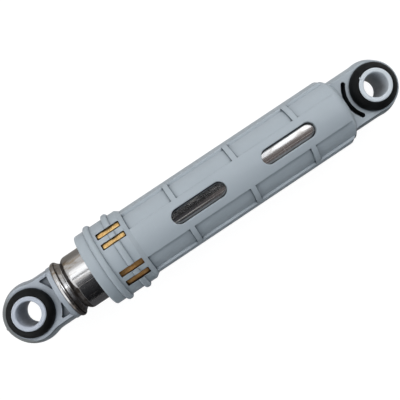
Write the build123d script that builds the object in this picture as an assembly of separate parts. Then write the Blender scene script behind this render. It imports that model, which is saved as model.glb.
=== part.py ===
from build123d import *
import os

# Washing machine shock absorber. A steel tube slides in a moulded housing against a greased
# friction strip, and each end has an eye with a rubber bush and a sleeve for its pin.
# X is the long axis, the pins stand along Z, and the origin is the middle of the housing's eye.
# Lengths are in millimetres and angles in degrees.

# Eyes
eye_thickness = 13.8
eye_edge = 0.4
eye_draft = 12.5            # of the plate's sides, from the parting plane to each face
eye_bore_radius = 10.0
waist_radius = 12.0         # where an eye's round runs into its neck
plunger_turn = 4.0          # of the plunger's eye about the long axis, as it lies

# Sleeves and rubber bushes
pin_radius = 5.5
sleeve_wall = 2.0
sleeve_length = 24.0
sleeve_edge = 0.4
sleeve_play = 0.05
bush_lip_radius = 10.8
bush_lip_height = 0.7
bush_setback = 0.6          # from a sleeve's end to the rubber's nose
bush_nose_width = 0.5
bush_swell_height = 0.45    # of the cone's side between lip and nose

# Steel tube, measured from the plunger's eye
tube_radius = 13.1
tube_wall = 0.9
tube_mouth = 16.8
tube_length = 132.7
groove_place = 21.1
groove_depth = 1.85
groove_shoulder = 1.5       # from the groove's bottom to the tube's full size
groove_cone = 2.3           # from the bottom to the bead
groove_round = 0.5
shoulder_round = 3.0        # where the groove runs into the tube
bead_length = 2.5
bead_height = 0.6
bead_drop = 0.3             # of the bead's inner end, down the groove's cone

# Plunger's eye
plunger_eye_radius = 13.9
plunger_neck_width = 25.3
flange_thickness = 2.1
flange_inset = 0.15         # under the tube's radius
flange_play = 0.1
plug_length = 12.4
plug_play = 0.1
pocket_ring_wall = 3.5      # from the bush's bore to the pockets
pocket_half_width = 9.65
pocket_web_width = 7.0      # the solid between the two pockets of a face
pocket_corner = 0.6
pocket_depth = 2.6
stub_radius = 0.6           # the gate's stub at the eye's far end
stub_length = 0.4

# Friction strip
strip_thickness = 2.5
strip_play = 0.1
strip_end_play = 0.2
strip_gap = 0.8             # where the rolled strip's ends meet

# Housing, eye end
housing_eye_radius = 13.2
housing_neck_width = 25.9
relief_radius = 13.5        # the curved slots beside the eye
relief_width = 2.1
relief_reach = 37.0         # degrees to each side of the long axis
relief_depth = 6.0
relief_land = 0.15          # from those slots to the barrel's domed end
dome_length = 6.1
shoulder_x = 16.0           # where the neck starts to widen to the side rails
shoulder_slope = 3.2
shoulder_radius = 3.0
shoulder_root = 2.4

# Housing, barrel
bore_end = 21.0             # the blind end of the tube's bore
end_room = 9.5              # left between that end and the tube, pushed in as it lies
guide_play = 0.35
barrel_wall = 1.65
bay_depth = 1.2
pad_width = 14.3
rib_width = 2.4
rib_first = 38.65
rib_pitch = 31.4
rib_count = 3
slot_length = 27.2
slot_width = 7.1
slot_first = 46.9
slot_pitch = 46.2
slot_count = 2
slot_edge = 0.4

# Housing, collar
collar_x = 126.3
collar_slope = 2.0
collar_wall = 2.0
collar_length = 16.3
ridge_height = 1.4
ridge_width = 2.9
ridge_round = 1.2
ridge_places = (5.2, 14.6)  # from the collar's start
window_length = 11.7
window_width = 2.65
window_corner = 0.4
window_places = (6.95, 11.8)    # middles, to each side of the long axis
chamber_lead = 0.9          # of the strip's chamber ahead of the collar's start

# Mouth ring
mouth_length = 4.9
mouth_edge = 0.9
spigot_length = 4.0
spigot_play = 0.05

# Worked out from the values above
eye_spacing = bore_end + end_room + tube_length + tube_mouth
sleeve_radius = pin_radius + sleeve_wall
half_eye = eye_thickness / 2
bore_radius = tube_radius + guide_play
core_radius = bore_radius + barrel_wall
barrel_radius = core_radius + bay_depth
barrel_foot = relief_radius + relief_width / 2 + relief_land
barrel_start = collar_x - collar_slope
chamber_radius = tube_radius + strip_play + strip_thickness
chamber_x = collar_x - chamber_lead
collar_radius = chamber_radius + collar_wall
collar_end = collar_x + collar_length
ridge_radius = collar_radius + ridge_height
flange_far = tube_mouth - flange_play
flange_near = flange_far - flange_thickness
plunger_place = Pos(eye_spacing, 0, 0) * Rot(plunger_turn, 0, 0)

# Helpers for cutting and for finding corners
over = 1.0                  # how far a cutter passes the face that it cuts
near = 0.01                 # within which two places are the same


def along_x(radius, start, end):
    """A round bar on the long axis."""
    return Pos((start + end) / 2, 0, 0) * Rot(0, 90, 0) * Cylinder(radius, end - start)


def block(start, end, half_width, low, high):
    """A box over X start to end, centred across Y, from Z low to high."""
    size = (end - start, 2 * half_width, high - low)
    return Pos((start + end) / 2, 0, (low + high) / 2) * Box(*size)


def sleeve():
    """The tube that the pin goes through."""
    body = Cylinder(sleeve_radius, sleeve_length) - Cylinder(pin_radius, sleeve_length)
    ends = body.edges().filter_by(GeomType.CIRCLE)
    return chamfer(ends, sleeve_edge)


def bush():
    """The rubber spool between an eye and its sleeve, with a coned nose on each face."""
    inner = sleeve_radius + sleeve_play
    top = sleeve_length / 2 - bush_setback
    lip_top = half_eye + bush_lip_height
    nose = (inner + bush_nose_width, top)
    side = ((bush_lip_radius + nose[0]) / 2 + bush_swell_height, (lip_top + top) / 2 + bush_swell_height)
    upper = Polyline(
        (inner, 0), (eye_bore_radius, 0), (eye_bore_radius, half_eye), (bush_lip_radius, half_eye),
        (bush_lip_radius, lip_top),
    )
    cone = ThreePointArc((bush_lip_radius, lip_top), side, nose)
    closing = Polyline(nose, (inner, top), (inner, 0))
    profile = Plane.XZ * make_face(upper + cone + closing)
    half = revolve(profile, Axis.Z)
    return half + mirror(half, Plane.XY)


def eye_plate(outline):
    """A plate of the eye's thickness with drafted sides and soft edges, bored for the bush."""
    upper = extrude(outline, half_eye, taper=eye_draft)
    rim = upper.edges().group_by(Axis.Z)[-1]
    upper = fillet(rim, eye_edge)
    plate = upper + mirror(upper, Plane.XY)
    return plate - Cylinder(eye_bore_radius, eye_thickness)


def eye_outline(eye_radius, neck_width, neck_end):
    """The round of an eye and the neck that runs from it to X neck_end."""
    neck = Pos(neck_end / 2, 0) * Rectangle(abs(neck_end), neck_width)
    outline = Circle(eye_radius) + neck
    waists = [v for v in outline.vertices() if abs(v.X) < abs(neck_end) - eye_edge]
    return fillet(waists, waist_radius)


def corners_at(outline, x, y):
    """The outline's corners at that X, on both sides of the long axis."""
    return [v for v in outline.vertices() if abs(v.X - x) < near and abs(abs(v.Y) - y) < near]


def housing_outline():
    """The housing seen along the pins: the eye, its neck and the barrel's two side rails."""
    slope_end = shoulder_x + shoulder_slope
    half_neck = housing_neck_width / 2
    rails = Polyline(
        (collar_x, -barrel_radius), (slope_end, -barrel_radius), (shoulder_x, -half_neck),
        (shoulder_x, half_neck), (slope_end, barrel_radius), (collar_x, barrel_radius), close=True,
    )
    outline = eye_outline(housing_eye_radius, housing_neck_width, slope_end) + make_face(rails)
    outline = fillet(corners_at(outline, slope_end, barrel_radius), shoulder_radius)
    return fillet(corners_at(outline, shoulder_x, half_neck), shoulder_root)


def barrel():
    """The round barrel with its domed end, the collar and the collar's two ridges."""
    dome_top = barrel_foot + dome_length
    lower = Polyline((barrel_foot, 0), (barrel_foot, half_eye))
    dome_rise = barrel_radius - half_eye
    end = EllipticalCenterArc((dome_top, half_eye), dome_length, dome_rise, 90, arc_size=90)
    upper = Polyline(
        (dome_top, barrel_radius), (barrel_start, barrel_radius), (collar_x, collar_radius),
        (collar_end, collar_radius), (collar_end, 0), (barrel_foot, 0),
    )
    body = revolve(make_face(lower + end + upper), Axis.X)
    for place in ridge_places:
        body += ridge(collar_x + place)
    return body


def ridge(x):
    """A round-topped band round the collar."""
    low = collar_radius - over
    band = Pos(x, (low + ridge_radius) / 2) * Rectangle(ridge_width, ridge_radius - low)
    tops = band.vertices().group_by(Axis.Y)[-1]
    return revolve(fillet(tops, ridge_round), Axis.X)


def bays():
    """What is taken off the round barrel: between its pads and ribs, and where the rails go."""
    ribs = [rib_first + i * rib_pitch for i in range(rib_count)]
    starts = [barrel_foot] + [x + rib_width / 2 for x in ribs]
    ends = [x - rib_width / 2 for x in ribs] + [barrel_start]
    reach = barrel_radius + over
    sides = along_x(reach, barrel_foot, barrel_start) - along_x(core_radius, barrel_foot, barrel_start)
    cutters = (sides & block(barrel_foot, barrel_start, reach, -half_eye, half_eye)).solids()
    for start, end in zip(starts, ends):
        shell = along_x(reach, start, end) - along_x(core_radius, start, end)
        for low, high in ((half_eye, reach), (-reach, -half_eye)):
            shell_side = shell & block(start, end, reach, low, high)
            cutters += (shell_side - block(start, end, pad_width / 2, low, high)).solids()
    return cutters


def windows():
    """The openings that show the friction strip, cut through both faces of the collar."""
    outline = RectangleRounded(window_length, window_width, window_corner)
    cutter = extrude(outline, ridge_radius + over, both=True)
    x = collar_x + window_length / 2
    return [Pos(x, side * place, 0) * cutter for place in window_places for side in (1, -1)]


def side_slots():
    """The long slots through both pads of the barrel."""
    outline = SlotOverall(slot_length, slot_width)
    places = [slot_first + i * slot_pitch for i in range(slot_count)]
    return [Pos(x, 0, 0) * extrude(outline, barrel_radius + over, both=True) for x in places]


def slot_rims(body):
    """The outer edges of the long slots."""
    first = slot_first - slot_length / 2
    last = first + (slot_count - 1) * slot_pitch + slot_length
    inside = body.edges().filter_by_position(Axis.X, first - near, last + near)
    inside = inside.filter_by_position(Axis.Y, -slot_width / 2 - near, slot_width / 2 + near)
    return [e for e in inside if abs(e.center().Z) > core_radius]


def relief_slots():
    """The curved slots in both faces, between the eye and the barrel."""
    line = CenterArc((0, 0), relief_radius, -relief_reach, 2 * relief_reach)
    cutter = extrude(SlotArc(line, relief_width), relief_depth)
    upper = Pos(0, 0, half_eye - relief_depth) * cutter
    return [upper, mirror(upper, Plane.XY)]


def housing():
    """The outer moulding: eye, slotted barrel and windowed collar."""
    body = barrel() - bays()
    body += eye_plate(housing_outline())
    body -= along_x(bore_radius, bore_end, collar_end)
    body -= along_x(chamber_radius, chamber_x, collar_end)
    body -= side_slots()
    body = fillet(slot_rims(body), slot_edge)
    body -= windows()
    body -= relief_slots()
    return body


def mouth_ring():
    """The ring that closes the collar, with a spigot that holds the strip in its chamber."""
    end = collar_end + mouth_length
    ring = along_x(collar_radius, collar_end, end)
    outer_rim = ring.edges().filter_by(GeomType.CIRCLE).sort_by(Axis.X)[-1]
    ring = fillet(outer_rim, mouth_edge)
    ring += along_x(chamber_radius - spigot_play, collar_end - spigot_length, collar_end)
    return ring - along_x(bore_radius, collar_end - spigot_length, end)


def friction_strip():
    """The greased foam strip, rolled into a ring round the tube."""
    start = chamber_x + strip_end_play
    end = collar_end - spigot_length - strip_end_play
    ring = along_x(chamber_radius, start, end)
    ring -= along_x(tube_radius + strip_play, start, end)
    joint = Pos((start + end) / 2, chamber_radius, 0) * Box(end - start, chamber_radius, strip_gap)
    return ring - joint


def under_skin(depth, start, end):
    """The half section of what lies at least that deep under the tube's rolled outer line."""
    far_end = -tube_mouth - tube_length - tube_radius
    near_end = tube_radius
    skin = FilletPolyline(
        (far_end, tube_radius), (-groove_place - groove_shoulder, tube_radius),
        (-groove_place, tube_radius - groove_depth), (-groove_place + groove_cone, tube_radius),
        (near_end, tube_radius), radius=(shoulder_round, groove_round, groove_round),
    )
    base = Polyline(
        (near_end, tube_radius), (near_end, -tube_radius), (far_end, -tube_radius), (far_end, tube_radius),
    )
    section = make_face(skin + base)
    if depth > 0:
        section = offset(section, -depth)
    window = Pos((start + end) / 2, tube_radius) * Rectangle(end - start, 2 * tube_radius)
    return section & window


def steel_tube():
    """The plunger's tube, with the groove rolled into it that grips the plug."""
    start = -tube_mouth - tube_length
    wall = under_skin(0, start, -tube_mouth) - under_skin(tube_wall, start - over, -tube_mouth + over)
    return plunger_place * (revolve(wall, Axis.X) + bead())


def bead():
    """The rolled rim at the tube's mouth."""
    start = (-tube_mouth - bead_length, tube_radius - bead_drop)
    crown_top = (-tube_mouth - bead_length / 2, tube_radius + bead_height)
    end = (-tube_mouth, tube_radius)
    low = tube_radius - tube_wall
    base = Polyline(end, (end[0], low), (start[0] + bead_length / 2, low), start)
    return revolve(make_face(base + ThreePointArc(start, crown_top, end)), Axis.X)


def eye_pockets():
    """The pockets between the eye's ring and the flange, two in each face."""
    area = Pos(-flange_near / 2, 0) * Rectangle(flange_near, 2 * pocket_half_width)
    ring = Circle(eye_bore_radius + pocket_ring_wall)
    outline = area - ring - Rectangle(2 * flange_near, pocket_web_width)
    outline = fillet(outline.vertices(), pocket_corner)
    upper = Pos(0, 0, half_eye - pocket_depth) * extrude(outline, pocket_depth)
    return upper.solids() + mirror(upper, Plane.XY).solids()


def plunger_eye():
    """The moulded eye with its flange and the plug that fills the tube's mouth and groove."""
    flange_middle = (flange_near + flange_far) / 2
    body = eye_plate(eye_outline(plunger_eye_radius, plunger_neck_width, -flange_far - eye_thickness))
    body = split(body, Plane.YZ.offset(-flange_middle), keep=Keep.TOP)
    body += along_x(stub_radius, plunger_eye_radius - over, plunger_eye_radius + stub_length)
    body -= eye_pockets()
    body += along_x(tube_radius - flange_inset, -flange_far, -flange_near)
    plug = under_skin(tube_wall + plug_play, -flange_far - plug_length, -flange_far)
    body += revolve(plug, Axis.X)
    return plunger_place * body


nodes = {
    "housing": housing(),
    "mouth_ring": mouth_ring(),
    "friction_strip": friction_strip(),
    "steel_tube": steel_tube(),
    "plunger_eye": plunger_eye(),
    "housing_bush": bush(),
    "plunger_bush": plunger_place * bush(),
    "housing_sleeve": sleeve(),
    "plunger_sleeve": plunger_place * sleeve(),
}

os.makedirs("parts", exist_ok=True)
for name, solid in nodes.items():
    export_step(solid, "parts/" + name + ".step")
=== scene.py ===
import math
import bmesh
import bpy
from mathutils import Matrix, Vector, noise
from mathutils.bvhtree import BVHTree


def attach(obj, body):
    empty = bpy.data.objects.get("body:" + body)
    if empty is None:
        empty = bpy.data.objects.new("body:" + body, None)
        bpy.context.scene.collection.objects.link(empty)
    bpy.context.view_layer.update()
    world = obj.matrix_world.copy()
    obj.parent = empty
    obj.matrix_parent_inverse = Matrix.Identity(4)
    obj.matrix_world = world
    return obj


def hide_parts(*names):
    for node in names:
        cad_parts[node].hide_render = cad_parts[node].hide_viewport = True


# Finishes and small details of a washing machine shock absorber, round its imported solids.
# X is the long axis from the housing's eye to the plunger's eye, and the pins stand along Z.
# Lengths are written in millimetres and turned into metres with MM.

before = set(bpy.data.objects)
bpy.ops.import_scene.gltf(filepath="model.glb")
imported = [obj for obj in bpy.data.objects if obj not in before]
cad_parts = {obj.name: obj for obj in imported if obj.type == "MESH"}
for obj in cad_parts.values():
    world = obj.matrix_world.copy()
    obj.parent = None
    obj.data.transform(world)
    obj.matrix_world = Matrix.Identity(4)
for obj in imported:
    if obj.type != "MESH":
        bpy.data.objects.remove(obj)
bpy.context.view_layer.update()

MM = 0.001
DEG = math.pi / 180

# Where the fixed model has what the details sit on
TUBE_RADIUS = 13.1
SLEEVE_RADIUS = 7.5
SLEEVE_TOP = 12.0
PLUNGER_PIN = 180           # X of the pin in the plunger's eye
PLUNGER_TURN = 0.0698       # slope of the plunger's eye about the long axis
RIM_FOOT = 161.1            # where the lip of the tube's rolled end starts
STRIP_START = 125.6
STRIP_END = 138.4
STRIP_INNER = 13.25
STRIP_OUTER = 15.62
WINDOW_START = 126.3
WINDOW_END = 138.0
WINDOW_HALF_WIDTH = 1.32
RIDGE_PLACE = 131.5
RIDGE_RADIUS = 19.1
BARREL_END = 20.8
BARREL_RADIUS = 16.3


# Shader nodes

def paint(red, green, blue):
    """A screen colour, 0 to 255, as the linear colour that a shader takes."""
    def linear(level):
        level /= 255
        return level / 12.92 if level <= 0.04045 else ((level + 0.055) / 1.055) ** 2.4
    return (linear(red), linear(green), linear(blue), 1.0)


def add(tree, kind, inputs=None, **settings):
    """Adds a shader node, gives it its settings, and fills or links its inputs."""
    node = tree.nodes.new("ShaderNode" + kind)
    for name, value in settings.items():
        setattr(node, name, value)
    for name, value in (inputs or {}).items():
        if isinstance(value, bpy.types.NodeSocket):
            tree.links.new(value, node.inputs[name])
        else:
            node.inputs[name].default_value = value
    return node


def calc(tree, operation, first, second=0.0):
    return add(tree, "Math", {0: first, 1: second}, operation=operation).outputs[0]


def product(tree, first, *others):
    for other in others:
        first = calc(tree, "MULTIPLY", first, other)
    return first


def distance(tree, first, second):
    return calc(tree, "ABSOLUTE", calc(tree, "SUBTRACT", first, second))


def spread(tree, value, low, high, to_low=0.0, to_high=1.0):
    """Maps low..high to to_low..to_high, clamped and eased at both ends."""
    inputs = {"Value": value, "From Min": low, "From Max": high, "To Min": to_low, "To Max": to_high}
    return add(tree, "MapRange", inputs, interpolation_type="SMOOTHSTEP").outputs[0]


def zone(tree, coordinate, start, end, to_start=0.0, to_end=1.0):
    """Eases from to_start to to_end between two places that are given in millimetres."""
    return spread(tree, coordinate, start * MM, end * MM, to_start, to_end)


def blend_colour(tree, factor, first, second):
    return add(tree, "Mix", {0: factor, 6: first, 7: second}, data_type="RGBA").outputs[2]


def lay_over(tree, base, mask, amount, colour):
    """Lays a colour over the base where the mask is, by that amount at most."""
    return blend_colour(tree, product(tree, mask, amount), base, colour)


def bump(tree, height, rise, normal=None):
    inputs = {"Height": height, "Distance": rise * MM, "Strength": 1.0}
    if normal is not None:
        inputs["Normal"] = normal
    return add(tree, "Bump", inputs).outputs[0]


def own_place(tree):
    """X, Y and Z of the object's own coordinates."""
    return add(tree, "SeparateXYZ", {0: add(tree, "TexCoord").outputs["Object"]}).outputs


def cloud(tree, grain, detail=2.0, roughness=0.5):
    """Noise with a grain of that size along X, Y and Z, in millimetres."""
    place = add(tree, "TexCoord").outputs["Object"]
    scale = tuple(1 / (MM * length) for length in grain)
    scaled = add(tree, "Mapping", {"Vector": place, "Scale": scale}).outputs[0]
    inputs = {"Vector": scaled, "Scale": 1.0, "Detail": detail, "Roughness": roughness}
    return add(tree, "TexNoise", inputs).outputs["Fac"]


def new_material(name, **constants):
    """A material with one Principled shader, whose constants go on its own sockets."""
    material = bpy.data.materials.new(name)
    material.use_nodes = True
    tree = material.node_tree
    shader = tree.nodes["Principled BSDF"]
    for label, value in constants.items():
        shader.inputs[label.replace("_", " ")].default_value = value
    return material, tree, shader.inputs


def new_plain_material(name):
    """A material with no nodes yet."""
    material = bpy.data.materials.new(name)
    material.use_nodes = True
    material.node_tree.nodes.clear()
    return material, material.node_tree


# Shared effects

def shared_group(name, inputs, outputs):
    """A node group with float inputs and the named outputs, and its input and output nodes."""
    tree = bpy.data.node_groups.new(name, "ShaderNodeTree")
    for label, value in inputs.items():
        socket = tree.interface.new_socket(label, in_out="INPUT", socket_type="NodeSocketFloat")
        socket.default_value = value
    for label, kind in outputs.items():
        tree.interface.new_socket(label, in_out="OUTPUT", socket_type="NodeSocket" + kind)
    return tree, tree.nodes.new("NodeGroupInput").outputs, tree.nodes.new("NodeGroupOutput").inputs


EDGE_TURN = (0.995, 0.80)   # how far the rounding turns the normal where an edge starts and is full


def build_soft_edge():
    """Rounds the corners that the solids leave sharp, and marks where they are."""
    tree, given, made = shared_group(
        "soft edge", {"Radius": 0.25 * MM}, {"Normal": "Vector", "Edge": "Float"}
    )
    rounded = add(tree, "Bevel", {"Radius": given["Radius"]}, samples=6).outputs[0]
    flat = add(tree, "NewGeometry").outputs["Normal"]
    along = add(tree, "VectorMath", {0: rounded, 1: flat}, operation="DOT_PRODUCT").outputs["Value"]
    tree.links.new(rounded, made["Normal"])
    tree.links.new(spread(tree, along, *EDGE_TURN), made["Edge"])
    return tree


BROAD_CLOUD = (16, 12, 12)
BROAD_SHARE = 0.7
FINE_CLOUD = (1.1, 1.1, 1.1)
FINE_SHARE = 0.3
SKIN_GRAIN = (0.16, 0.16, 0.16)


def build_moulded_skin():
    """The faint cloudiness and fine grain of an injection moulding."""
    tree, given, made = shared_group(
        "moulded skin", {"Cloudiness": 0.5, "Grain": 1.0}, {"Tone": "Float", "Height": "Float"}
    )
    broad = product(tree, cloud(tree, BROAD_CLOUD, 3.0), BROAD_SHARE)
    fine = product(tree, cloud(tree, FINE_CLOUD), FINE_SHARE)
    centred = calc(tree, "SUBTRACT", calc(tree, "ADD", broad, fine), 0.5)
    tree.links.new(product(tree, centred, given["Cloudiness"]), made["Tone"])
    tree.links.new(product(tree, cloud(tree, SKIN_GRAIN), given["Grain"]), made["Height"])
    return tree


SCRATCHES_ALONG = (9.0, 0.22, 0.22)
SCRATCHES_ACROSS = (0.25, 7.0, 3.0)
SCRATCH_CREST = (0.70, 0.74)        # the part of the noise that shows as scratches
SCUFF_PATCHES = (14, 9, 9)
SCUFF_PATCH_EDGE = (0.50, 0.62)


def build_scuffs():
    """Thin scratches from handling, in patches, as a mask."""
    tree, given, made = shared_group("scuffs", {"Amount": 0.5}, {"Mask": "Float"})
    lines = [
        spread(tree, cloud(tree, grain, 1.0), *SCRATCH_CREST)
        for grain in (SCRATCHES_ALONG, SCRATCHES_ACROSS)
    ]
    patches = spread(tree, cloud(tree, SCUFF_PATCHES), *SCUFF_PATCH_EDGE)
    both = calc(tree, "MAXIMUM", *lines)
    tree.links.new(product(tree, both, patches, given["Amount"]), made["Mask"])
    return tree


def build_corner_shade():
    """Painted shade in corners of that Reach: a mask from 0, where Open, to 1, where Closed."""
    tree, given, made = shared_group(
        "corner shade", {"Reach": 1.5 * MM, "Open": 0.75, "Closed": 0.25}, {"Mask": "Float"}
    )
    open_sky = add(tree, "AmbientOcclusion", {"Distance": given["Reach"]}, samples=8).outputs["AO"]
    tree.links.new(spread(tree, open_sky, given["Open"], given["Closed"]), made["Mask"])
    return tree


UPRIGHT = (0.60, 0.30)      # Z of the normals of faces that begin to stand up, and that do
OTHER_SIDE = (-1, 4)        # Y where the lit -Y side ends, and where the painted shade is full
CREASE_HEIGHT = 6.0         # of the painted shadow line under the edge of an eye's plate
CREASE_FADE = (1.5, 0.5)


def build_side_shade():
    """Painted shade on the steep sides of an eye's plate, less on the lit -Y side by the share Lit,
    and a painted shadow line under their edge.
    """
    tree, given, made = shared_group(
        "side shade",
        {"Turn": 0.0, "From": 0.0, "To": 0.0, "Lit": 0.0},
        {"Mask": "Float", "Crease": "Float"},
    )
    normal = add(tree, "SeparateXYZ", {0: add(tree, "TexCoord").outputs["Normal"]}).outputs
    place = own_place(tree)
    upright = spread(tree, calc(tree, "ABSOLUTE", normal["Z"]), *UPRIGHT)
    at_eye = spread(tree, place["X"], given["From"], given["To"])
    one_side = zone(tree, place["Y"], *OTHER_SIDE, given["Lit"], 1.0)
    mask = product(tree, upright, at_eye, one_side)
    height = calc(tree, "SUBTRACT", place["Z"], product(tree, place["Y"], given["Turn"]))
    from_crease = distance(tree, calc(tree, "ABSOLUTE", height), CREASE_HEIGHT * MM)
    tree.links.new(mask, made["Mask"])
    tree.links.new(product(tree, zone(tree, from_crease, *CREASE_FADE), mask), made["Crease"])
    return tree


END_GREY_FADE = 0.3
FAR_SIDE = (1, 8)           # X beyond the pin where the grey starts, and where it is full


def build_greyer_end():
    """Greyer colour round the end of an eye whose pin is at Place, from Radius out."""
    tree, given, made = shared_group("greyer end", {"Place": 0.0, "Radius": 0.0}, {"Mask": "Float"})
    place = own_place(tree)
    along = calc(tree, "SUBTRACT", place["X"], given["Place"])
    square = calc(tree, "ADD", product(tree, along, along), product(tree, place["Y"], place["Y"]))
    beyond = calc(tree, "SUBTRACT", calc(tree, "SQRT", square), given["Radius"])
    outside = zone(tree, beyond, 0.0, END_GREY_FADE)
    tree.links.new(product(tree, outside, zone(tree, along, *FAR_SIDE)), made["Mask"])
    return tree


GROUPS = {
    "soft edge": build_soft_edge(),
    "moulded skin": build_moulded_skin(),
    "scuffs": build_scuffs(),
    "corner shade": build_corner_shade(),
    "side shade": build_side_shade(),
    "greyer end": build_greyer_end(),
}


def place_group(tree, name, **values):
    """Puts a shared group into a material with its own values."""
    node = tree.nodes.new("ShaderNodeGroup")
    node.node_tree = GROUPS[name]
    for label, value in values.items():
        node.inputs[label].default_value = value
    return node.outputs


# Mouldings

NOISE_RANGE = (0.3, 0.7)    # the noise seldom leaves this
CLOUDED_SHARE = 0.35        # of a moulding's colour that its clouds change
EDGE_WEAR_AND_HIGHLIGHT = 0.65
SCUFFS = 0.35
SCUFF_WEAR = 0.4
CORNER_SHADE_AMOUNT = 0.85
HOLLOW_CLOSED = 0.30        # how little sky a hollow sees where its shade is full
HOLLOW_SHADE = paint(10, 16, 22)
SIDE_SHADE_AMOUNT = 0.45
SIDE_SHADE_GREY = paint(112, 114, 114)
CREASE_SHADE = 0.55
CREASE_SHADOW = paint(58, 66, 72)
END_GREYING = 0.75
END_GREY = paint(96, 97, 92)
GLOSS_PATCHES = (5, 5, 5)
SKIN_RISE = 0.006           # of its grain


def moulding(
    name, colour, worn, shade, rough=(0.42, 0.54), cloudiness=0.25, edge=0.25,
    hollow=0.9, hollow_reach=7.0, hollow_from=0.62, sides=None, end=None,
):
    """A satin moulding, paler on its edges from wear and a painted highlight, with painted shade in
    its corners and hollows, and lightly scuffed.
    """
    material, tree, shader = new_material(name, IOR=1.5)
    skin = place_group(tree, "moulded skin", Cloudiness=cloudiness)
    corners = place_group(tree, "corner shade", Reach=1.5 * MM, Open=0.86, Closed=0.46)
    hollows = place_group(
        tree, "corner shade", Reach=hollow_reach * MM, Open=hollow_from, Closed=HOLLOW_CLOSED
    )
    scuffs = place_group(tree, "scuffs", Amount=SCUFFS)
    edges = place_group(tree, "soft edge", Radius=edge * MM)
    clouded = blend_colour(tree, calc(tree, "ADD", skin["Tone"], 0.5), shade, worn)
    base = blend_colour(tree, CLOUDED_SHARE, colour, clouded)
    # Paler edges: wear, and a painted highlight along them.
    base = lay_over(tree, base, edges["Edge"], EDGE_WEAR_AND_HIGHLIGHT, worn)
    base = lay_over(tree, base, scuffs["Mask"], SCUFF_WEAR, worn)
    # Painted shade in the corners.
    base = lay_over(tree, base, corners["Mask"], CORNER_SHADE_AMOUNT, shade)
    if sides:
        # Painted shade on the steep sides, and a painted shadow line under their edge.
        side_shade = place_group(tree, "side shade", **sides)
        base = lay_over(tree, base, side_shade["Mask"], SIDE_SHADE_AMOUNT, SIDE_SHADE_GREY)
        base = lay_over(tree, base, side_shade["Crease"], CREASE_SHADE, CREASE_SHADOW)
    if end:
        greyer_end = place_group(tree, "greyer end", **end)
        base = lay_over(tree, base, greyer_end["Mask"], END_GREYING, END_GREY)
    base = lay_over(tree, base, hollows["Mask"], hollow, HOLLOW_SHADE)
    tree.links.new(base, shader["Base Color"])
    gloss = cloud(tree, GLOSS_PATCHES)
    tree.links.new(spread(tree, gloss, *NOISE_RANGE, *rough), shader["Roughness"])
    tree.links.new(bump(tree, skin["Height"], SKIN_RISE, edges["Normal"]), shader["Normal"])
    return material


# Rubber

BLOOM_PATCHES = (6, 6, 6)
BLOOM_EDGE = (0.42, 0.70)
RUBBER_GLOSS_PATCHES = (2, 2, 2)
RUBBER_ROUGHNESS = (0.52, 0.68)
RUBBER_EDGE_WEAR = 0.3
RUBBER_RISE = 0.010


def bush_rubber():
    """Black moulded rubber with a dull bloom."""
    material, tree, shader = new_material("black bush rubber", IOR=1.5, Specular_IOR_Level=0.15)
    skin = place_group(tree, "moulded skin", Cloudiness=0.6)
    edges = place_group(tree, "soft edge", Radius=0.2 * MM)
    bloom = spread(tree, cloud(tree, BLOOM_PATCHES, 4.0), *BLOOM_EDGE)
    base = blend_colour(tree, bloom, paint(7, 8, 9), paint(16, 18, 19))
    base = lay_over(tree, base, edges["Edge"], RUBBER_EDGE_WEAR, paint(36, 40, 44))
    tree.links.new(base, shader["Base Color"])
    gloss = cloud(tree, RUBBER_GLOSS_PATCHES, 3.0)
    tree.links.new(spread(tree, gloss, *NOISE_RANGE, *RUBBER_ROUGHNESS), shader["Roughness"])
    tree.links.new(bump(tree, skin["Height"], RUBBER_RISE, edges["Normal"]), shader["Normal"])
    return material


# Steel

DRAW_LINES = (30, 0.14, 0.14)
LINE_RANGE = (0.3, 0.75)
LINE_RISE = 0.0022
STEEL_ROUGHNESS = (0.13, 0.24)
DRAW_STREAKS = (18, 0.9, 0.9)
STAIN_PATCHES = (7, 2.2, 2.2)
STAIN_EDGE = (0.50, 0.70)
STAIN_AMOUNT = 0.35
STAIN_COLOUR = paint(138, 128, 116)
BROWN_START = (136, 160)    # X where the brown by the mouth starts, partly stain and partly a painted reflection, and where it is full
BROWN_SIDE = (-3, -11)      # Y likewise
BROWN_AMOUNT = 0.85
BROWN_LEAST = 0.45          # between the stains
BROWN_COLOUR = paint(140, 127, 110)
TUBE_CORNER_SHADE = 0.6
TUBE_CORNER_COLOUR = paint(52, 42, 34)
GROOVE_DARK_PLACE = 158.1   # X of the grime and painted shade in the rolled groove, up its shoulder on the tube's side
GROOVE_DARK_SHIFT = 0.45    # and how much further up it lies on the +Y side
GROOVE_DARK_SIDE = (-2, 3)  # Y where the -Y side's darkening ends, and where the +Y side's starts
GROOVE_DARK_HALF_WIDTHS = (0.6, 1.2)
GROOVE_DARK_FADE = 0.6
RIM_DARK_FADE = (0.3, 0.1)
DIRT_AND_SHADE_LEAST = 0.9            # between the stains
DIRT_AND_SHADE_MOST = 0.96
DIRT_AND_SHADE_COLOUR = paint(30, 23, 18)
SOOT_START = (159.2, 159.8)     # X where the rolled end's soot starts, and where it is full
SOOT_SIDE = (3.4, 6.0)          # Y likewise
SOOT_AMOUNT = 0.8
SCUFF_DULLING = 0.2         # added to the roughness
STAIN_DULLING = 0.08
DIRT_DULLING = 0.35
SOOT_DULLING = 0.15


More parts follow.
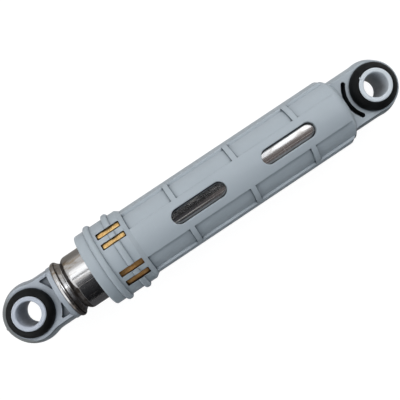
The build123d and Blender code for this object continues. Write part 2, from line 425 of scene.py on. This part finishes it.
def groove_and_rim_dirt_and_shade(tree, place, stains):
    """Grime and painted shade in the tube's rolled groove and at the foot of its lip, as a mask."""
    shoulder = (GROOVE_DARK_PLACE * MM, (GROOVE_DARK_PLACE - GROOVE_DARK_SHIFT) * MM)
    middle = zone(tree, place["Y"], *GROOVE_DARK_SIDE, *shoulder)
    half_widths = [width * MM for width in GROOVE_DARK_HALF_WIDTHS]
    half_width = zone(tree, place["Y"], *GROOVE_DARK_SIDE, *half_widths)
    beyond = calc(tree, "SUBTRACT", distance(tree, place["X"], middle), half_width)
    in_groove = zone(tree, beyond, GROOVE_DARK_FADE, 0.0)
    at_rim = zone(tree, distance(tree, place["X"], RIM_FOOT * MM), *RIM_DARK_FADE)
    uneven = calc(tree, "ADD", stains, DIRT_AND_SHADE_LEAST)
    dirt_and_shade = product(tree, calc(tree, "MAXIMUM", in_groove, at_rim), uneven)
    return calc(tree, "MINIMUM", dirt_and_shade, DIRT_AND_SHADE_MOST)


def drawn_steel():
    """Polished steel: fine draw lines along the tube and faint stains; brown by the mouth, partly
    stain and partly a painted reflection; painted shade in its corners; grime and painted shade in
    its rolled groove.
    """
    material, tree, shader = new_material("polished drawn steel", Metallic=1.0)
    lines = cloud(tree, DRAW_LINES, 3.0, 0.6)
    streaks = cloud(tree, DRAW_STREAKS)
    stains = spread(tree, cloud(tree, STAIN_PATCHES, 4.0), *STAIN_EDGE)
    scuffs = place_group(tree, "scuffs", Amount=0.8)
    edges = place_group(tree, "soft edge", Radius=0.15 * MM)
    corners = place_group(tree, "corner shade", Reach=1.4 * MM, Open=0.7, Closed=0.3)
    place = own_place(tree)
    by_mouth = zone(tree, place["X"], *BROWN_START)
    one_side = zone(tree, place["Y"], *BROWN_SIDE)
    brown_stain_and_reflection = product(tree, by_mouth, one_side, calc(tree, "ADD", stains, BROWN_LEAST))
    sooty = product(tree, zone(tree, place["X"], *SOOT_START), zone(tree, place["Y"], *SOOT_SIDE))
    soot = blend_colour(tree, stains, paint(70, 61, 56), paint(128, 117, 108))
    dirt_and_shade = groove_and_rim_dirt_and_shade(tree, place, stains)
    base = blend_colour(tree, streaks, paint(170, 170, 170), paint(194, 194, 195))
    base = lay_over(tree, base, stains, STAIN_AMOUNT, STAIN_COLOUR)
    # Brown on the mouth's -Y side: partly stain, partly a painted reflection.
    base = lay_over(tree, base, brown_stain_and_reflection, BROWN_AMOUNT, BROWN_COLOUR)
    # Painted shade in the corners.
    base = lay_over(tree, base, corners["Mask"], TUBE_CORNER_SHADE, TUBE_CORNER_COLOUR)
    base = lay_over(tree, base, sooty, SOOT_AMOUNT, soot)
    # Grime and painted shade in the rolled groove and at the lip's foot.
    base = blend_colour(tree, dirt_and_shade, base, DIRT_AND_SHADE_COLOUR)
    tree.links.new(base, shader["Base Color"])
    rough = spread(tree, lines, *LINE_RANGE, *STEEL_ROUGHNESS)
    for mask, dulling in (
        (scuffs["Mask"], SCUFF_DULLING), (stains, STAIN_DULLING),
        (dirt_and_shade, DIRT_DULLING), (sooty, SOOT_DULLING),
    ):
        rough = calc(tree, "ADD", rough, product(tree, mask, dulling))
    tree.links.new(rough, shader["Roughness"])
    tree.links.new(bump(tree, lines, LINE_RISE, edges["Normal"]), shader["Normal"])
    return material


GRINDING_LINES = (0.3, 2.0, 2.0)
WELD_ROUGHNESS = (0.28, 0.42)


def ground_weld():
    """The weld down the tube, ground nearly flush and duller than the rest."""
    material, tree, shader = new_material("ground weld", Metallic=1.0)
    lines = cloud(tree, GRINDING_LINES, 3.0)
    base = blend_colour(tree, lines, paint(168, 164, 158), paint(224, 222, 218))
    tree.links.new(base, shader["Base Color"])
    tree.links.new(spread(tree, lines, *NOISE_RANGE, *WELD_ROUGHNESS), shader["Roughness"])
    return material


# Foam

FIBRES = (0.30, 2.2, 2.2)
FIBRE_RANGE = (0.35, 0.65)
PORES = (0.35, 0.35, 0.35)
PORE_EDGE = (0.40, 0.24)
PORE_SHADE = 0.5
WORN_PATCHES = (2.6, 2.6, 2.6)
WORN_PATCH_EDGE = (0.40, 0.75)
WORN_PATCH_SHARE = 0.5
GREASE_PATCHES = (2.2, 2.2, 2.2)
GREASE_EDGE = (0.55, 0.66)
GREASE_SHADE = 0.35
FOAM_PLUS_Y_SIDE = (1, 5)        # Y where the painted shade on the +Y side starts, and where it is full
FOAM_PLUS_Y_SHADE = 0.75
WALL_SHADE = 0.7
DRY_ROUGHNESS = 0.85
GREASE_GLOSS = 0.5
FOAM_RISE = 0.05            # of its fibres and pores


def friction_foam():
    """Greased tan friction foam: fibres across the strip, darker pores, painted shade on the +Y side
    and along the window walls.
    """
    material, tree, shader = new_material("greased tan foam", IOR=1.47)
    fibres = cloud(tree, FIBRES, 3.0, 0.6)
    pores = cloud(tree, PORES, 3.0, 0.6)
    deep = spread(tree, pores, *PORE_EDGE)
    worn = spread(tree, cloud(tree, WORN_PATCHES, 3.0), *WORN_PATCH_EDGE, 0.0, WORN_PATCH_SHARE)
    grease = spread(tree, cloud(tree, GREASE_PATCHES), *GREASE_EDGE)
    walls = place_group(tree, "corner shade", Reach=1.7 * MM, Open=0.62, Closed=0.18)
    plus_y_shade = zone(tree, own_place(tree)["Y"], *FOAM_PLUS_Y_SIDE)
    pale = spread(tree, fibres, *FIBRE_RANGE)
    base = blend_colour(tree, pale, paint(206, 158, 88), paint(246, 212, 148))
    base = lay_over(tree, base, deep, PORE_SHADE, paint(150, 100, 44))
    base = blend_colour(tree, worn, base, paint(222, 172, 100))
    base = lay_over(tree, base, grease, GREASE_SHADE, paint(184, 128, 60))
    # Painted shade on the +Y side.
    base = lay_over(tree, base, plus_y_shade, FOAM_PLUS_Y_SHADE, paint(150, 98, 44))
    # Painted shade along the window walls.
    base = lay_over(tree, base, walls["Mask"], WALL_SHADE, paint(66, 40, 14))
    tree.links.new(base, shader["Base Color"])
    rough = calc(tree, "SUBTRACT", DRY_ROUGHNESS, product(tree, grease, GREASE_GLOSS))
    tree.links.new(rough, shader["Roughness"])
    tree.links.new(bump(tree, calc(tree, "ADD", fibres, pores), FOAM_RISE), shader["Normal"])
    return material


# Which node has which finish

SLEEVE_BORE = {"hollow": 0.68, "hollow_reach": 11.0, "hollow_from": 0.54}
END_GREY_RADIUS = 10.9      # from here out the end of the plunger's eye is greyer

FINISHES = {
    "housing": moulding(
        "light grey moulding", paint(165, 174, 181), paint(200, 206, 211), paint(84, 97, 108),
        sides={"From": 22 * MM, "To": 17 * MM, "Lit": 0.05},
    ),
    "eye": moulding(
        "blue grey moulding", paint(168, 175, 184), paint(192, 198, 205), paint(84, 96, 110),
        hollow=0.12,
        sides={"Turn": PLUNGER_TURN, "From": 150 * MM, "To": 155 * MM, "Lit": 0.6},
        end={"Place": PLUNGER_PIN * MM, "Radius": END_GREY_RADIUS * MM},
    ),
    "pale sleeve": moulding(
        "pale sleeve moulding", paint(208, 215, 221), paint(220, 226, 231), paint(140, 147, 156),
        rough=(0.34, 0.46), cloudiness=0.15, edge=0.2, **SLEEVE_BORE,
    ),
    "darker sleeve": moulding(
        "darker sleeve moulding", paint(184, 190, 202), paint(202, 208, 218), paint(128, 136, 148),
        rough=(0.36, 0.48), cloudiness=0.2, edge=0.2, **SLEEVE_BORE,
    ),
    "rubber": bush_rubber(),
    "steel": drawn_steel(),
    "weld": ground_weld(),
    "foam": friction_foam(),
}

NODE_FINISHES = {
    "housing": "housing",
    "mouth_ring": "housing",
    "plunger_eye": "eye",
    "housing_sleeve": "pale sleeve",
    "plunger_sleeve": "darker sleeve",
    "housing_bush": "rubber",
    "plunger_bush": "rubber",
    "steel_tube": "steel",
}


def finish_nodes():
    for name, finish in NODE_FINISHES.items():
        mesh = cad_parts[name].data
        mesh.materials.clear()
        mesh.materials.append(FINISHES[finish])


# Meshes

def new_piece(name, points, faces, finish, body, slot):
    """A mesh piece in millimetres that rides on a body."""
    mesh = bpy.data.meshes.new(name)
    mesh.from_pydata([Vector(point) * MM for point in points], [], faces)
    mesh.validate()
    shape = bmesh.new()
    shape.from_mesh(mesh)
    bmesh.ops.recalc_face_normals(shape, faces=shape.faces)
    shape.to_mesh(mesh)
    shape.free()
    mesh.shade_smooth()
    mesh.materials.append(FINISHES[finish])
    piece = bpy.data.objects.new(name, mesh)
    bpy.context.scene.collection.objects.link(piece)
    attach(piece, body)
    return piece


def loft(loops):
    """Points and faces of a closed skin over section loops of equal size."""
    count = len(loops[0])
    points = [point for loop in loops for point in loop]
    faces = []
    for first in range(0, len(points) - count, count):
        for corner in range(count):
            following = (corner + 1) % count
            beyond = first + count
            faces.append((first + corner, first + following, beyond + following, beyond + corner))
    faces.append(tuple(range(count))[::-1])
    faces.append(tuple(range(len(points) - count, len(points))))
    return points, faces


def joined(skins):
    """Several skins as the points and faces of one mesh."""
    points = []
    faces = []
    for some_points, some_faces in skins:
        faces += [tuple(corner + len(points) for corner in face) for face in some_faces]
        points += some_points
    return points, faces


def around_x(x, angle, radius):
    """The point at that X, angle from the top towards +Y in degrees, and radius."""
    return Vector((x, radius * math.sin(angle * DEG), radius * math.cos(angle * DEG)))


# Friction strip

SWELLS = {-11.8: 2.6, -6.95: 1.9, 6.95: 0.1, 11.8: 1.3}     # out into the window at that Y
SWELL_SLOPE = 0.35          # how much more it stands out along a window's +Y wall
SWELL_EDGE = 0.05           # left between the swelling and the window's walls
SWELL_UNEVEN = 0.3
SWELL_NOISE = (0.45, 0.6)   # its noise's scale along X and Y
SWELL_ENDS = (10, 0.5)      # powers that round it off towards a window's ends
SWELL_SIDES = (3, 0.6)      # and towards its sides
LUMP_PLACE = (132.5, 8.0)   # X and Y of a lump in one of them
LUMP_HEIGHT = 1.3
LUMP_SPREAD = (1.6, 0.7)
STRIP_GAP = 0.8             # where the rolled strip's ends meet, on the +Y side
STRIP_ROWS = 48
STRIP_STEPS = 440


def window_swell(x, y):
    """How far the foam swells out through a window at that place, seen along the pins."""
    middle = (WINDOW_START + WINDOW_END) / 2
    window = min(SWELLS, key=lambda place: abs(y - place))
    along = abs(x - middle) / ((WINDOW_END - WINDOW_START) / 2 - SWELL_EDGE)
    across = abs(y - window) / (WINDOW_HALF_WIDTH - SWELL_EDGE)
    if along >= 1 or across >= 1:
        return 0.0
    uneven = 1 + SWELL_UNEVEN * noise.noise(Vector((x * SWELL_NOISE[0], y * SWELL_NOISE[1], 3.0)))
    uneven *= 1 + SWELL_SLOPE * (y - window) / WINDOW_HALF_WIDTH
    offset = ((x - LUMP_PLACE[0]) / LUMP_SPREAD[0], (y - LUMP_PLACE[1]) / LUMP_SPREAD[1])
    lump = LUMP_HEIGHT * math.exp(-offset[0] ** 2 - offset[1] ** 2)
    by_end = (1 - along ** SWELL_ENDS[0]) ** SWELL_ENDS[1]
    by_side = (1 - across ** SWELL_SIDES[0]) ** SWELL_SIDES[1]
    return (SWELLS[window] * uneven + lump) * by_end * by_side


def strip_loop(angle):
    """The strip's section at that angle round the tube: its outer face, then its inner face back."""
    width = STRIP_END - STRIP_START
    places = [STRIP_START + width * row / (STRIP_ROWS - 1) for row in range(STRIP_ROWS)]
    loop = []
    for x in places:
        skin = around_x(x, angle, STRIP_OUTER)
        rise = window_swell(x, skin.y)
        loop.append(skin + Vector((0, 0, math.copysign(rise, skin.z))))
    return loop + [around_x(x, angle, STRIP_INNER) for x in reversed(places)]


def make_foam_strip():
    """The squeezed foam in place of the plain strip, rolled from joint to joint round the tube."""
    half_gap = STRIP_GAP / 2 / STRIP_OUTER / DEG
    first = 90 + half_gap
    sweep = 360 - 2 * half_gap
    loops = [strip_loop(first + sweep * step / STRIP_STEPS) for step in range(STRIP_STEPS + 1)]
    strip = new_piece("foam_strip", *loft(loops), "foam", "housing", "strip_foam")
    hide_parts("friction_strip")


# Small details of the tube and the sleeve

WELD_ANGLE = 6.5            # from the top towards +Y
WELD_START = 31.0
WELD_END = 156.0
WELD_STEPS = 250
WELD_WIDTH = 0.5
WELD_HEIGHT = 0.045
WELD_WAVER = 0.25           # how much its width changes
WELD_LUMPS = (0.7, 0.3)     # the even and the uneven share of its height
WELD_CROWN = (-0.5, 0.0, 0.5)   # where its section is raised, in half widths
WELD_SHOULDERS = 0.8        # of its height
WELD_SINK = 0.15            # how far its root reaches into the tube
WELD_TUCK = 0.01            # how far its edges lie under the tube's face
WELD_RISE_START = 84.0      # hardly seen up to here
WELD_RISE_END = 94.0
WELD_FADE_START = 125.0     # polished away from here to the mouth
WELD_FADE_END = 150.0
WELD_FAINTEST = 0.15


def make_tube_weld():
    """The seam of the tube, ground down but for a trace."""
    loops = []
    for step in range(WELD_STEPS + 1):
        x = WELD_START + (WELD_END - WELD_START) * step / WELD_STEPS
        uneven = 1 + WELD_WAVER * noise.noise(Vector((x * 0.8, 0, 7.0)))
        half = WELD_WIDTH / 2 * uneven / TUBE_RADIUS / DEG
        rise = (x - WELD_RISE_START) / (WELD_RISE_END - WELD_RISE_START)
        fade = (WELD_FADE_END - x) / (WELD_FADE_END - WELD_FADE_START)
        faded = max(min(rise, fade, 1), WELD_FAINTEST)
        half *= faded
        lumps = WELD_LUMPS[0] + WELD_LUMPS[1] * noise.noise(Vector((x * 1.7, 5.0, 0)))
        height = faded * WELD_HEIGHT * lumps
        shoulder = height * WELD_SHOULDERS
        section = [(-1, -WELD_SINK), (-1, -WELD_TUCK)]
        section += zip(WELD_CROWN, (shoulder, height, shoulder))
        section += [(1, -WELD_TUCK), (1, -WELD_SINK)]
        loops.append([
            around_x(x, WELD_ANGLE + half * side, TUBE_RADIUS + lift) for side, lift in section
        ])
    new_piece("tube_weld", *loft(loops), "weld", "tube", "tube_steel")


MARK_START = 160.2
MARK_END = 163.0
MARK_STEPS = 8
MARK_WIDTH = 0.26
MARK_HEIGHT = 0.07
MARK_SECTION = ((-0.6, 0.7), (0, 1), (0.6, 0.7))    # shares of its half width and of its height
MARK_SINK = 0.1
MARK_TAPER = (0.06, 0.88)   # where along a half wave a line starts, and how much of it it runs
MARK_SHIFT = 0.5            # how far a line may start late
MARK_LENGTHS = (0.75, 0.25)     # the even and the uneven share of its length
MARK_LEAN = 5               # in degrees of turn
MARK_ANGLES = (24, 29, 33, 39, 43, 48, 54, 60, 66, 71, 76)
OUTSIDE = 5                 # from the tube's face, where a search for it starts


def tube_skin():
    """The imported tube's outer face, for finding places on it."""
    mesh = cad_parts["steel_tube"].data
    points = [vertex.co for vertex in mesh.vertices]
    return BVHTree.FromPolygons(points, [polygon.vertices for polygon in mesh.polygons])


def on_tube(skin, x, angle, lift):
    """The place on the tube's outer face at that X and angle, lifted off it, in millimetres."""
    start = around_x(x, angle, TUBE_RADIUS + OUTSIDE)
    place = skin.ray_cast(start * MM, around_x(0, angle, -1.0))[0] / MM
    return place + around_x(0, angle, lift)


def staking_mark(skin, x, angle, lean, length):
    """One pressed-up line on the rolled rim, along the part, leaning by so many degrees of turn."""
    loops = []
    half = MARK_WIDTH / 2 / TUBE_RADIUS / DEG
    for step in range(MARK_STEPS + 1):
        share = step / MARK_STEPS
        taper = math.sin(math.pi * (MARK_TAPER[0] + MARK_TAPER[1] * share)) ** 0.5
        section = [(-1, -MARK_SINK)]
        section += [(side, MARK_HEIGHT * taper * rise) for side, rise in MARK_SECTION]
        section += [(1, -MARK_SINK)]
        spot = x + length * share
        turn = angle + lean * share
        loops.append([
            on_tube(skin, spot, turn + half * taper * side, lift) for side, lift in section
        ])
    return loft(loops)


def make_staking_marks():
    """The lines that the rolling tool left on the tube's rim."""
    skin = tube_skin()
    marks = []
    for number, angle in enumerate(MARK_ANGLES):
        jitter = noise.noise(Vector((number * 3.1, 0.4, 1.0)))
        start = MARK_START + MARK_SHIFT * max(jitter, 0)
        length = (MARK_END - start) * (MARK_LENGTHS[0] + MARK_LENGTHS[1] * jitter)
        marks.append(staking_mark(skin, start, angle, MARK_LEAN * jitter, length))
    new_piece("rim_marks", *joined(marks), "steel", "tube", "tube_steel")


NIB_ANGLE = -54.6           # round the pin, from +X towards +Y
NIB_HALF_WIDTH = 0.4
NIB_REACH = 0.45            # beyond the sleeve's wall
NIB_ROOT = 0.5              # into the sleeve's wall
NIB_TOP = SLEEVE_TOP - 0.02
# Each section's drop below the top, and its shares of the reach and of the half width
NIB_SECTIONS = ((0.6, 0.05, 0.3), (0.3, 0.8, 0.9), (0.08, 1.0, 1.0), (0.0, 0.7, 0.8))


def make_sleeve_nib():
    """The broken gate on the end of the housing's sleeve."""
    turn = Matrix.Rotation(NIB_ANGLE * DEG, 3, "Z")
    inner = SLEEVE_RADIUS - NIB_ROOT
    loops = []
    for drop, reach, half in NIB_SECTIONS:
        outer = SLEEVE_RADIUS + NIB_REACH * reach
        side = NIB_HALF_WIDTH * half
        section = [(inner, -side), (outer, -side), (outer, side), (inner, side)]
        loops.append([turn @ Vector((*corner, NIB_TOP - drop)) for corner in section])
    new_piece("sleeve_nib", *loft(loops), "pale sleeve", "housing_sleeve", "sleeve_plastic")


# Camera: the one that took the photograph, found from its outline

CAMERA_PLACE = (104.852, -9.499, 331.175)
CAMERA_AIM = (91.521, -0.446, 0.0)
CAMERA_TOP = -123.652       # the way to the picture's top, in degrees from +X seen from above
CAMERA_LENS = 66.662
CAMERA_SENSOR = 36.0
CAMERA_CLIP = 10


def place_camera():
    place = Vector(CAMERA_PLACE) * MM
    back = (place - Vector(CAMERA_AIM) * MM).normalized()
    top = Vector((math.cos(CAMERA_TOP * DEG), math.sin(CAMERA_TOP * DEG), 0))
    right = top.cross(back).normalized()
    turn = Matrix((right, back.cross(right), back)).transposed()
    camera = bpy.data.cameras.new("camera")
    camera.sensor_width = CAMERA_SENSOR
    camera.lens = CAMERA_LENS
    camera.clip_start = CAMERA_CLIP * MM
    holder = bpy.data.objects.new("camera", camera)
    holder.matrix_world = Matrix.Translation(place) @ turn.to_4x4()
    bpy.context.scene.collection.objects.link(holder)
    bpy.context.scene.camera = holder


# Floor and room

WHITE = (1, 1, 1, 1)
FLOOR_SIZE = 3000
FLOOR_GAP = 0.02            # under the collar's first ridge
PAPER_COLOUR = (0.86, 0.86, 0.86, 1)
PAPER_GLOW = 1.1
PAPER_GLOW_SHARE = 0.86     # the rest of what is seen is lit paper, which keeps the part's shadow
ROOM_SIDES = (0.35, -0.6)   # of a direction's Y, for these two tones
ROOM_TONES = ((0.21, 0.24, 0.26, 1), (0.45, 0.44, 0.43, 1))


def seen_directly(tree):
    """1 for what the camera sees, straight on or in metal or glass."""
    path = add(tree, "LightPath").outputs
    seen = calc(tree, "MAXIMUM", path["Is Camera Ray"], path["Is Glossy Ray"])
    return calc(tree, "MAXIMUM", seen, path["Is Transmission Ray"])


def moved(x, y, z):
    """A shift by that many millimetres."""
    return Matrix.Translation(Vector((x, y, z)) * MM)


def floor_place(lift=0.0):
    """The paper's place under the collar's ridge and the barrel's end, leaning as the part lies."""
    lean = math.atan2(RIDGE_RADIUS - BARREL_RADIUS, RIDGE_PLACE - BARREL_END)
    return moved(RIDGE_PLACE, 0, -RIDGE_RADIUS - FLOOR_GAP + lift) @ Matrix.Rotation(lean, 4, "Y")


def place_floor():
    """White paper."""
    bpy.ops.mesh.primitive_plane_add(size=FLOOR_SIZE * MM)
    floor = bpy.context.object
    floor.name = "floor"
    floor.matrix_world = floor_place()
    material, tree = new_plain_material("white paper")
    paper = add(tree, "BsdfDiffuse", {"Color": PAPER_COLOUR}).outputs[0]
    white = add(tree, "Emission", {"Color": WHITE, "Strength": PAPER_GLOW}).outputs[0]
    seen = product(tree, seen_directly(tree), PAPER_GLOW_SHARE)
    mixed = add(tree, "MixShader", {0: seen, 1: paper, 2: white}).outputs[0]
    add(tree, "OutputMaterial", {"Surface": mixed})
    floor.data.materials.append(material)


def place_world():
    """A pale room, white where it is seen, that fills mostly from the part's -Y side."""
    world = bpy.data.worlds.new("room")
    world.use_nodes = True
    tree = world.node_tree
    tree.nodes.clear()
    direction = add(tree, "TexCoord").outputs["Generated"]
    side = add(tree, "SeparateXYZ", {0: direction}).outputs["Y"]
    tone = blend_colour(tree, spread(tree, side, *ROOM_SIDES), *ROOM_TONES)
    room = add(tree, "Background", {"Color": tone}).outputs[0]
    white = add(tree, "Background", {"Color": WHITE}).outputs[0]
    mixed = add(tree, "MixShader", {0: seen_directly(tree), 1: room, 2: white}).outputs[0]
    add(tree, "OutputWorld", {"Surface": mixed})
    bpy.context.scene.world = world


# Lamps: two soft boxes overhead, which the tube mirrors, one low past each end, and a fill

COOL = (0.96, 0.98, 1.0)
NEUTRAL = (1, 1, 1)
FILL = "fill"               # lights mat surfaces only

# Name, place, what it faces, width, height, power and colour
LAMPS = (
    ("over the plunger", (300, -345, 430), (300, -345, 0), 300, 510, 0.58, COOL),
    ("over the housing", (-140, -150, 430), (-140, -150, 0), 300, 300, 0.46, COOL),
    ("past the plunger", (520, -40, 330), (150, 0, 0), 400, 200, 0.9, COOL),
    ("past the housing", (-330, -140, 330), (30, 0, 0), 220, 220, 0.7, COOL),
    (FILL, (70, -400, 500), (90, 0, 0), 320, 320, 0.52, NEUTRAL),
)


def place_lamps():
    for name, place, aim, width, height, power, colour in LAMPS:
        light = bpy.data.lights.new(name, "AREA")
        light.shape = "RECTANGLE"
        light.size = width * MM
        light.size_y = height * MM
        light.energy = power
        light.color = colour
        holder = bpy.data.objects.new(name, light)
        holder.visible_glossy = name != FILL
        facing = (Vector(place) * MM - Vector(aim) * MM).to_track_quat("Z", "Y")
        holder.matrix_world = moved(*place) @ facing.to_matrix().to_4x4()
        bpy.context.scene.collection.objects.link(holder)


# Boards: what the steel mirrors besides the lamps

NEAR_BLACK = (0.005, 0.005, 0.006, 1)
DUSK = (0.09, 0.09, 0.10, 1)
BRIGHT = (1.6, 1.6, 1.6, 1)
BROWN = (0.32, 0.27, 0.25, 1)
NEAR_SHADE = (0.58, 0.55, 0.52, 1)
MIDDLE_SHADE = (0.30, 0.29, 0.28, 1)
FAR_SHADE = (0.10, 0.10, 0.105, 1)
SIDE_LEAN = Matrix.Rotation(-63 * DEG, 4, "X")
FACING_BACK = Matrix.Rotation(90 * DEG, 4, "Y")
SHADE_LIFT = 0.3
OVER_PAPER = floor_place(SHADE_LIFT)

# Name, place, length and width, and its tones at its own -Y and +Y edges
BOARDS = (
    ("camera side", moved(82, 0, 338), (130, 420), NEAR_BLACK, NEAR_BLACK),
    ("lamp bar", moved(300, -180, 420), (300, 55), DUSK, DUSK),
    ("dark side", moved(150, 87, 208) @ SIDE_LEAN, (160, 500), DUSK, NEAR_BLACK),
    ("brown side", moved(-165, 87, 208) @ SIDE_LEAN, (470, 500), BROWN, DUSK),
    ("white card past the plunger", moved(420, 60, 220) @ FACING_BACK, (460, 520), BRIGHT, BRIGHT),
    ("near shade on the paper", OVER_PAPER @ moved(0, -100, 0), (340, 200), NEAR_SHADE, MIDDLE_SHADE),
    ("far shade on the paper", OVER_PAPER @ moved(0, 115, 0), (340, 230), FAR_SHADE, FAR_SHADE),
)


def place_boards():
    """The boards glow in their tones and show in metal and gloss only."""
    for name, place, (length, width), near_tone, far_tone in BOARDS:
        bpy.ops.mesh.primitive_plane_add(size=1.0)
        card = bpy.context.object
        card.name = name
        card.matrix_world = place @ Matrix.Diagonal((length * MM, width * MM, 1, 1))
        material, tree = new_plain_material(name)
        across = spread(tree, own_place(tree)["Y"], -0.5, 0.5)
        tone = blend_colour(tree, across, near_tone, far_tone)
        glow = add(tree, "Emission", {"Color": tone, "Strength": 1.0}).outputs[0]
        add(tree, "OutputMaterial", {"Surface": glow})
        card.data.materials.append(material)
        for kind in ("camera", "diffuse", "transmission", "volume_scatter", "shadow"):
            setattr(card, "visible_" + kind, False)


finish_nodes()
make_foam_strip()
make_tube_weld()
make_staking_marks()
make_sleeve_nib()
place_camera()
place_floor()
place_lamps()
place_boards()
place_world()
bpy.context.scene.view_settings.view_transform = "Standard"
